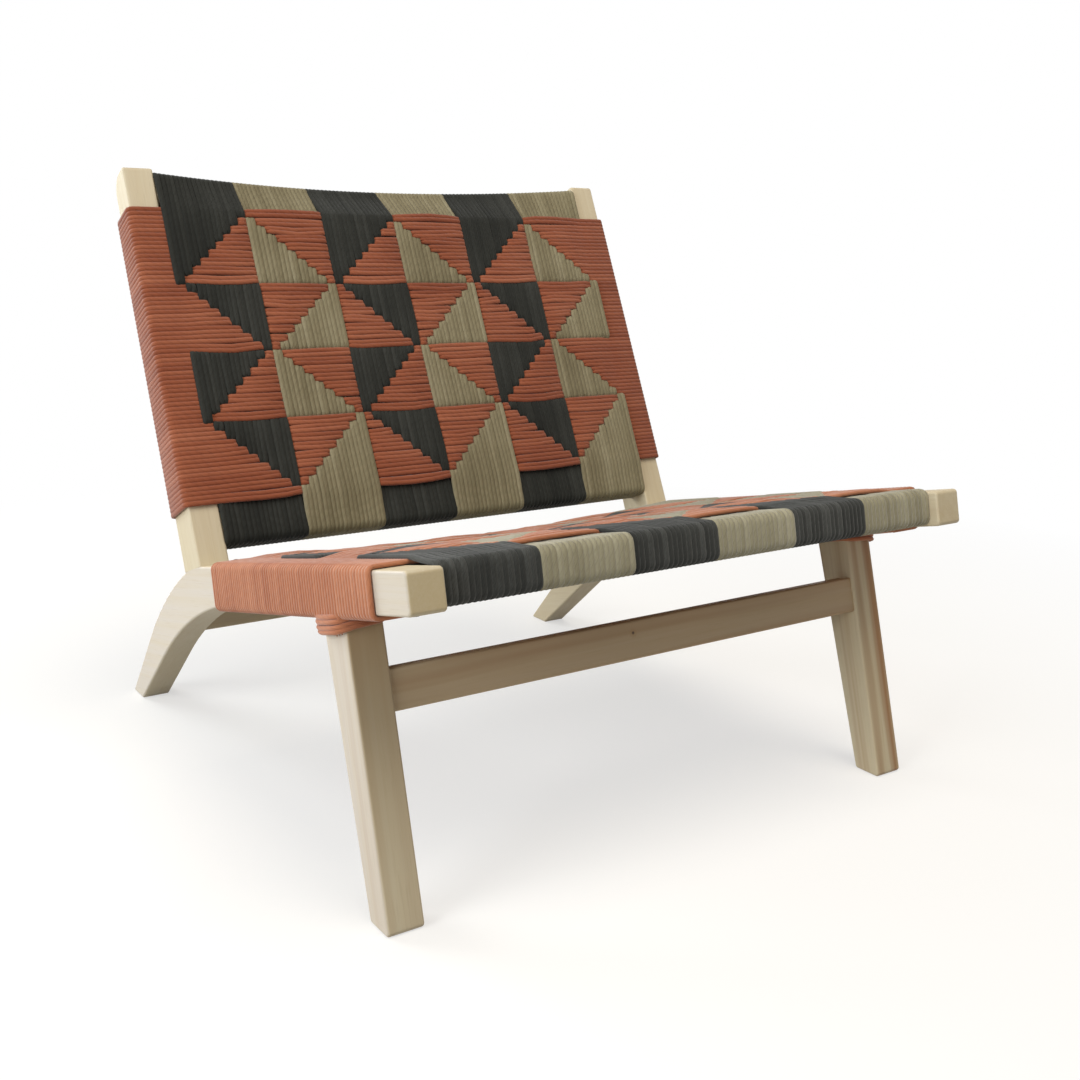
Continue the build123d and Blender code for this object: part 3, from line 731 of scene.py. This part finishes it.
def wood_material(name, grain, seed, warm=0.0, streak=0.0, knot=None, stripe=None, seat_shade_and_tone=0.0, left_highlight=0.0):
    """Bare pale hardwood: faint rings, fine streaks and pores along the grain, darker end grain.

    warm makes the whole piece browner, streak adds brown streaks, most of all at x = stripe, stain darkens and
    browns the front towards the top as painted shade under the seat and in part a browner tone of the wood,
    white paints a highlight on the faces to the left where the lamps fall and also draws the end grain further
    towards its own colour, and knot is the place of a knot.
    """
    shader = Shader(name)
    place = shader.add("TexCoord", output="Object")
    turn = Vector(grain).rotation_difference(Vector((1, 0, 0))).to_euler()
    cut = (0.37 * seed, 0.021 * math.sin(3.1 * seed) + 0.05, 0.023 * math.cos(2.3 * seed))
    along = shader.scaled(place, (1, 1, 1), tuple(turn), cut)
    bend = shader.noise(shader.scaled(along, (1.6, 14, 14)), scale=1.0)
    aside = {1: shader.math("MULTIPLY", bend, 0.022), 2: shader.math("MULTIPLY", bend, 0.017)}
    bent = {0: along, 1: shader.add("CombineXYZ", inputs=aside)}
    swept = shader.add("VectorMath", inputs=bent, operation="ADD")
    ringed = {"Vector": shader.scaled(swept, (0.02, 1, 1)), "Scale": 38.0, "Distortion": 2.2}
    rings = shader.add(
        "TexWave", output=1, inputs={**ringed, "Detail": 2.0, "Detail Scale": 1.6},
        wave_type="RINGS", rings_direction="X", wave_profile="SAW",
    )
    streaks = shader.noise(shader.scaled(swept, (2.2, 130, 130)), scale=1.0, detail=4.0, roughness=0.62)
    pores = shader.noise(shader.scaled(swept, (26, 900, 900)), scale=1.0)
    broad = shader.noise(shader.scaled(along, (1.1, 20, 20)), scale=1.0)
    ring_level = shader.math("MULTIPLY", rings, 0.16)
    level = shader.math("MULTIPLY_ADD", shader.spread(streaks, 0.2, 0.8), 0.45, ring_level)
    level = shader.math("ADD", level, shader.spread(broad, 0.3, 0.7, -0.14, 0.2))
    colour = shader.ramp(level, (0.1, WOOD_PALE), (0.45, WOOD_MIDDLE), (0.95, WOOD_DEEP))
    if warm:
        colour = shader.mix(warm, colour, WOOD_WARM)
    # Painted highlight: faces to the left are paled where the lamps fall, unevenly along the streaks.
    if left_highlight:
        uneven = shader.spread(streaks, 0.3, 0.7, left_highlight + 0.2, left_highlight - 0.2)
        share = shader.math("MULTIPLY", shader.spread(shader.facing(LEFT), 0.3, 0.9), uneven)
        colour = shader.mix(share, colour, WOOD_LEFT_HIGHLIGHT)
    if streak:
        brown = shader.noise(shader.scaled(swept, (1.2, 62, 62), location=(0.4, 0.2, 0.9)), scale=1.0)
        if stripe is not None:
            away = shader.math("ABSOLUTE", shader.math("SUBTRACT", shader.split(place)[0], stripe))
            brown = shader.math("ADD", brown, shader.spread(away, 0.003, 0.009, 0.24, -0.04))
        colour = shader.mix(shader.spread(brown, 0.44, 0.7, 0.0, streak), colour, WOOD_STREAK)
    # Painted shade: front faces darken and brown towards the top, under the seat, in part a browner tone of the
    # wood.
    if seat_shade_and_tone:
        upward = shader.spread(shader.split(place)[2], 0.04, 0.28, 0.0, seat_shade_and_tone)
        share = shader.math("MULTIPLY", shader.spread(shader.facing(AHEAD), 0.5, 0.9), upward)
        colour = shader.mix(share, colour, WOOD_SEAT_SHADE_AND_TONE)
    colour = shader.mix(shader.spread(pores, 0.56, 0.7, 0.0, 0.18), colour, WOOD_PORE)
    if knot is not None:
        gap = shader.measure("DISTANCE", place, knot)
        rim = shader.spread(gap, KNOT_SIZE * 0.5, KNOT_SIZE * 2.6, 0.55, 0.0)
        heart = shader.spread(gap, KNOT_SIZE * 0.35, KNOT_SIZE, 0.95, 0.0)
        colour = shader.mix(heart, shader.mix(rim, colour, KNOT_RIM), KNOT_HEART)
    end = shader.spread(shader.math("ABSOLUTE", shader.facing(grain)), 0.8, 0.95)
    grit = shader.noise(place, scale=420.0, detail=3.0, roughness=0.6)
    # The painted highlight's strength also draws the end grain further towards its own colour.
    gritty = shader.spread(grit, 0.35, 0.7, 0.15 + 0.7 * left_highlight, 0.35 + 0.7 * left_highlight)
    ended = shader.mix(gritty, colour, WOOD_END)
    shader.set(Base_Color=shader.mix(shader.math("MULTIPLY", end, 0.8), colour, ended))
    shader.set(Roughness=shader.spread(streaks, 0.2, 0.8, 0.5, 0.62), Specular_IOR_Level=0.5)
    height = shader.math("MULTIPLY_ADD", pores, -0.5, streaks)
    shader.bump(height, strength=0.25, distance=0.0003)
    return shader.material


back_cords = {
    "charcoal_cord": cord_material(
        "charcoal_cord", linear(45, 46, 42), linear(33, 34, 31), linear(61, 62, 58),
        sheen=0.2, fuzz=0.35),
    "taupe_cord": cord_material(
        "taupe_cord", linear(135, 126, 99), linear(115, 106, 81), linear(155, 147, 120),
        sheen=0.3, fuzz=0.35),
    "terracotta_cord": cord_material(
        "terracotta_cord", linear(146, 80, 52), linear(126, 64, 40), linear(165, 99, 70),
        sheen=0.38, fuzz=0.45),
}
# Painted light: the seat's cords and the leg bindings use lighter copies of the back's cord materials, standing
# in for the stronger light and sheen that fall on the seat.
lit_seat_cords = {
    "charcoal_cord": cord_material(
        "lit_seat_charcoal_cord", linear(57, 58, 55), linear(40, 41, 39), linear(86, 87, 84),
        sheen=0.16, fuzz=0.45),
    "taupe_cord": cord_material(
        "lit_seat_taupe_cord", linear(151, 144, 118), linear(131, 124, 100), linear(171, 165, 140),
        sheen=0.4, fuzz=0.45),
    "terracotta_cord": cord_material(
        "lit_seat_terracotta_cord", linear(179, 114, 80), linear(160, 94, 62), linear(198, 135, 101),
        sheen=0.34, fuzz=0.48),
}


def along_run(edge):
    return (0.0, float(edge.run[0]), float(edge.run[1]))


def dress_wood():
    across = (1.0, 0.0, 0.0)
    down_rail, up_stile, up_leg = along_run(rail), along_run(stile), along_run(leg)
    knot = tuple(to_row(leg.place(*KNOT_PLACE)))
    # The left side rail and left front leg get a painted highlight on their left faces, and the left front leg
    # painted shade under the seat.
    woods = {
        "left_side_rail": (down_rail, {"left_highlight": 0.6}),
        "right_side_rail": (down_rail, {"streak": 0.15}),
        "left_back_stile": (up_stile, {}),
        "right_back_stile": (up_stile, {"streak": 0.1}),
        "left_front_leg": (up_leg, {"streak": 0.2, "seat_shade_and_tone": 0.8, "left_highlight": 0.6}),
        "right_front_leg": (up_leg, {"streak": 0.95, "stripe": 0.3125}),
        "front_stretcher": (across, {"warm": 0.5, "streak": 0.45, "knot": knot}),
        "rear_stretcher": (across, {"warm": 0.2, "streak": 0.2}),
        "seat_front_rail": (across, {}),
        "seat_rear_rail": (across, {}),
        "back_bottom_rail": (across, {}),
        "back_top_rail": (across, {}),
        "seat_rail_dowels": (across, {}),
        "back_rail_dowels": (across, {}),
        "stile_dowels": (up_stile, {}),
    }
    for seed, (node, (grain, marks)) in enumerate(woods.items(), 1):
        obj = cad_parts[node]
        obj.data.materials.clear()
        obj.data.materials.append(wood_material("wood_" + node, grain, seed, **marks))


def dress_cords():
    for panel, finish in ((seat, lit_seat_cords), (back, back_cords)):
        for band in range(BANDS):
            node = "%s_warp_band_%d" % (panel.name, band + 1)
            slot = "taupe_cord" if band % 2 else "charcoal_cord"
            band_cords(panel, band).build(node + "_cords", finish[slot], node, slot)
        node = panel.name + "_weft"
        slot = "terracotta_cord"
        weft_cords(panel).build(node + "_cords", finish[slot], node, slot, strips=2)
    for side, sign in (("left", -1), ("right", 1)):
        node = side + "_leg_binding"
        slot = "terracotta_cord"
        binding_cords(sign).build(node + "_cord", lit_seat_cords[slot], node, slot)


# Stage

FLOOR_SIZE = 12.0
FLOOR_SHADES = (0.485, 0.475, 0.452)
FLOOR_FADE = (0.55, 1.6)
FLOOR_GLOW = 0.55
WORLD_LIGHT = 0.22
WHITE = (1.0, 1.0, 1.0, 1.0)


def seen_directly(tree):
    """1 where a thing is seen by the camera itself, in a reflection or through glass."""
    path = tree.nodes.new("ShaderNodeLightPath")
    seen = path.outputs["Is Camera Ray"]
    for name in ("Is Glossy Ray", "Is Transmission Ray"):
        node = tree.nodes.new("ShaderNodeMath")
        node.operation = "MAXIMUM"
        socket_value(node, 0, seen)
        socket_value(node, 1, path.outputs[name])
        seen = node.outputs[0]
    return seen


def make_floor():
    size = FLOOR_SIZE
    corners = np.array([[-size, -size, 0], [size, -size, 0], [size, size, 0], [-size, size, 0]], float)
    shader = Shader("floor")
    reach = shader.measure("LENGTH", shader.add("TexCoord", output="Object"))
    fade = shader.spread(reach, *FLOOR_FADE)
    seen = seen_directly(shader.tree)
    bare = shader.math("SUBTRACT", 1.0, shader.math("MULTIPLY", fade, seen))
    shades = [shader.math("MULTIPLY", bare, part) for part in FLOOR_SHADES]
    glow = shader.spread(fade, 0.0, 1.0, FLOOR_GLOW, 1.0)
    shader.set(Base_Color=shader.add("CombineColor", inputs=dict(enumerate(shades))))
    shader.set(Roughness=0.9, Specular_IOR_Level=0.0, Emission_Color=WHITE)
    shader.set(Emission_Strength=shader.math("MULTIPLY", seen, glow))
    floor = mesh_object("floor", corners, np.array([[0, 1, 2, 3]]), shader.material)


def make_light():
    world = bpy.data.worlds.new("studio")
    bpy.context.scene.world = world
    world.use_nodes = True
    tree = world.node_tree
    level = tree.nodes.new("ShaderNodeMapRange")
    socket_value(level, 0, seen_directly(tree))
    socket_value(level, 3, WORLD_LIGHT)
    socket_value(level, 4, 1.0)
    socket_value(tree.nodes["Background"], 0, WHITE)
    socket_value(tree.nodes["Background"], 1, level.outputs[0])
    target = Vector((0, 0, 0.3))
    for name, place, size, energy, colour in (
        ("key", (-4.2, -0.7, 1.6), 2.6, 125.0, (0.92, 0.96, 1.0)),
        ("top", (0.3, -1.0, 3.2), 2.4, 64.0, (1.0, 0.93, 0.83)),
        ("rear", (-2.1, 3.2, 1.6), 2.4, 95.0, (0.93, 0.97, 1.0)),
    ):
        lamp = bpy.data.lights.new(name, "AREA")
        lamp.shape = "DISK"
        lamp.color = colour
        lamp.size = size
        lamp.energy = energy
        obj = bpy.data.objects.new(name, lamp)
        obj.location = place
        obj.rotation_euler = (target - Vector(place)).to_track_quat("-Z", "Y").to_euler()
        bpy.context.scene.collection.objects.link(obj)


def make_camera():
    """The photograph's camera, fitted to the frame's corners."""
    focal_pixels, frame_pixels = 1250.8, 1080.0
    pitch, roll, yaw = 0.24205, 0.02105, -0.60464
    eye = (-758.53, -805.89, 581.81)
    spin = Matrix.Rotation(-yaw, 3, "Z")
    base = Matrix(((1, 0, 0), (0, 0, -1), (0, 1, 0)))
    view = Matrix.Rotation(roll, 3, "Z") @ Matrix.Rotation(pitch, 3, "X") @ base @ spin
    right, down, forward = view
    data = bpy.data.cameras.new("photo_view")
    data.sensor_width = 36.0
    data.lens = focal_pixels / frame_pixels * data.sensor_width
    camera = bpy.data.objects.new("photo_view", data)
    turn = Matrix((right, -down, -forward)).transposed()
    camera.matrix_world = Matrix.Translation(Vector(to_row(eye))) @ turn.to_4x4()
    bpy.context.scene.collection.objects.link(camera)
    bpy.context.scene.camera = camera


dress_wood()
dress_cords()
make_floor()
make_light()
make_camera()
bpy.context.scene.view_settings.view_transform = "Standard"
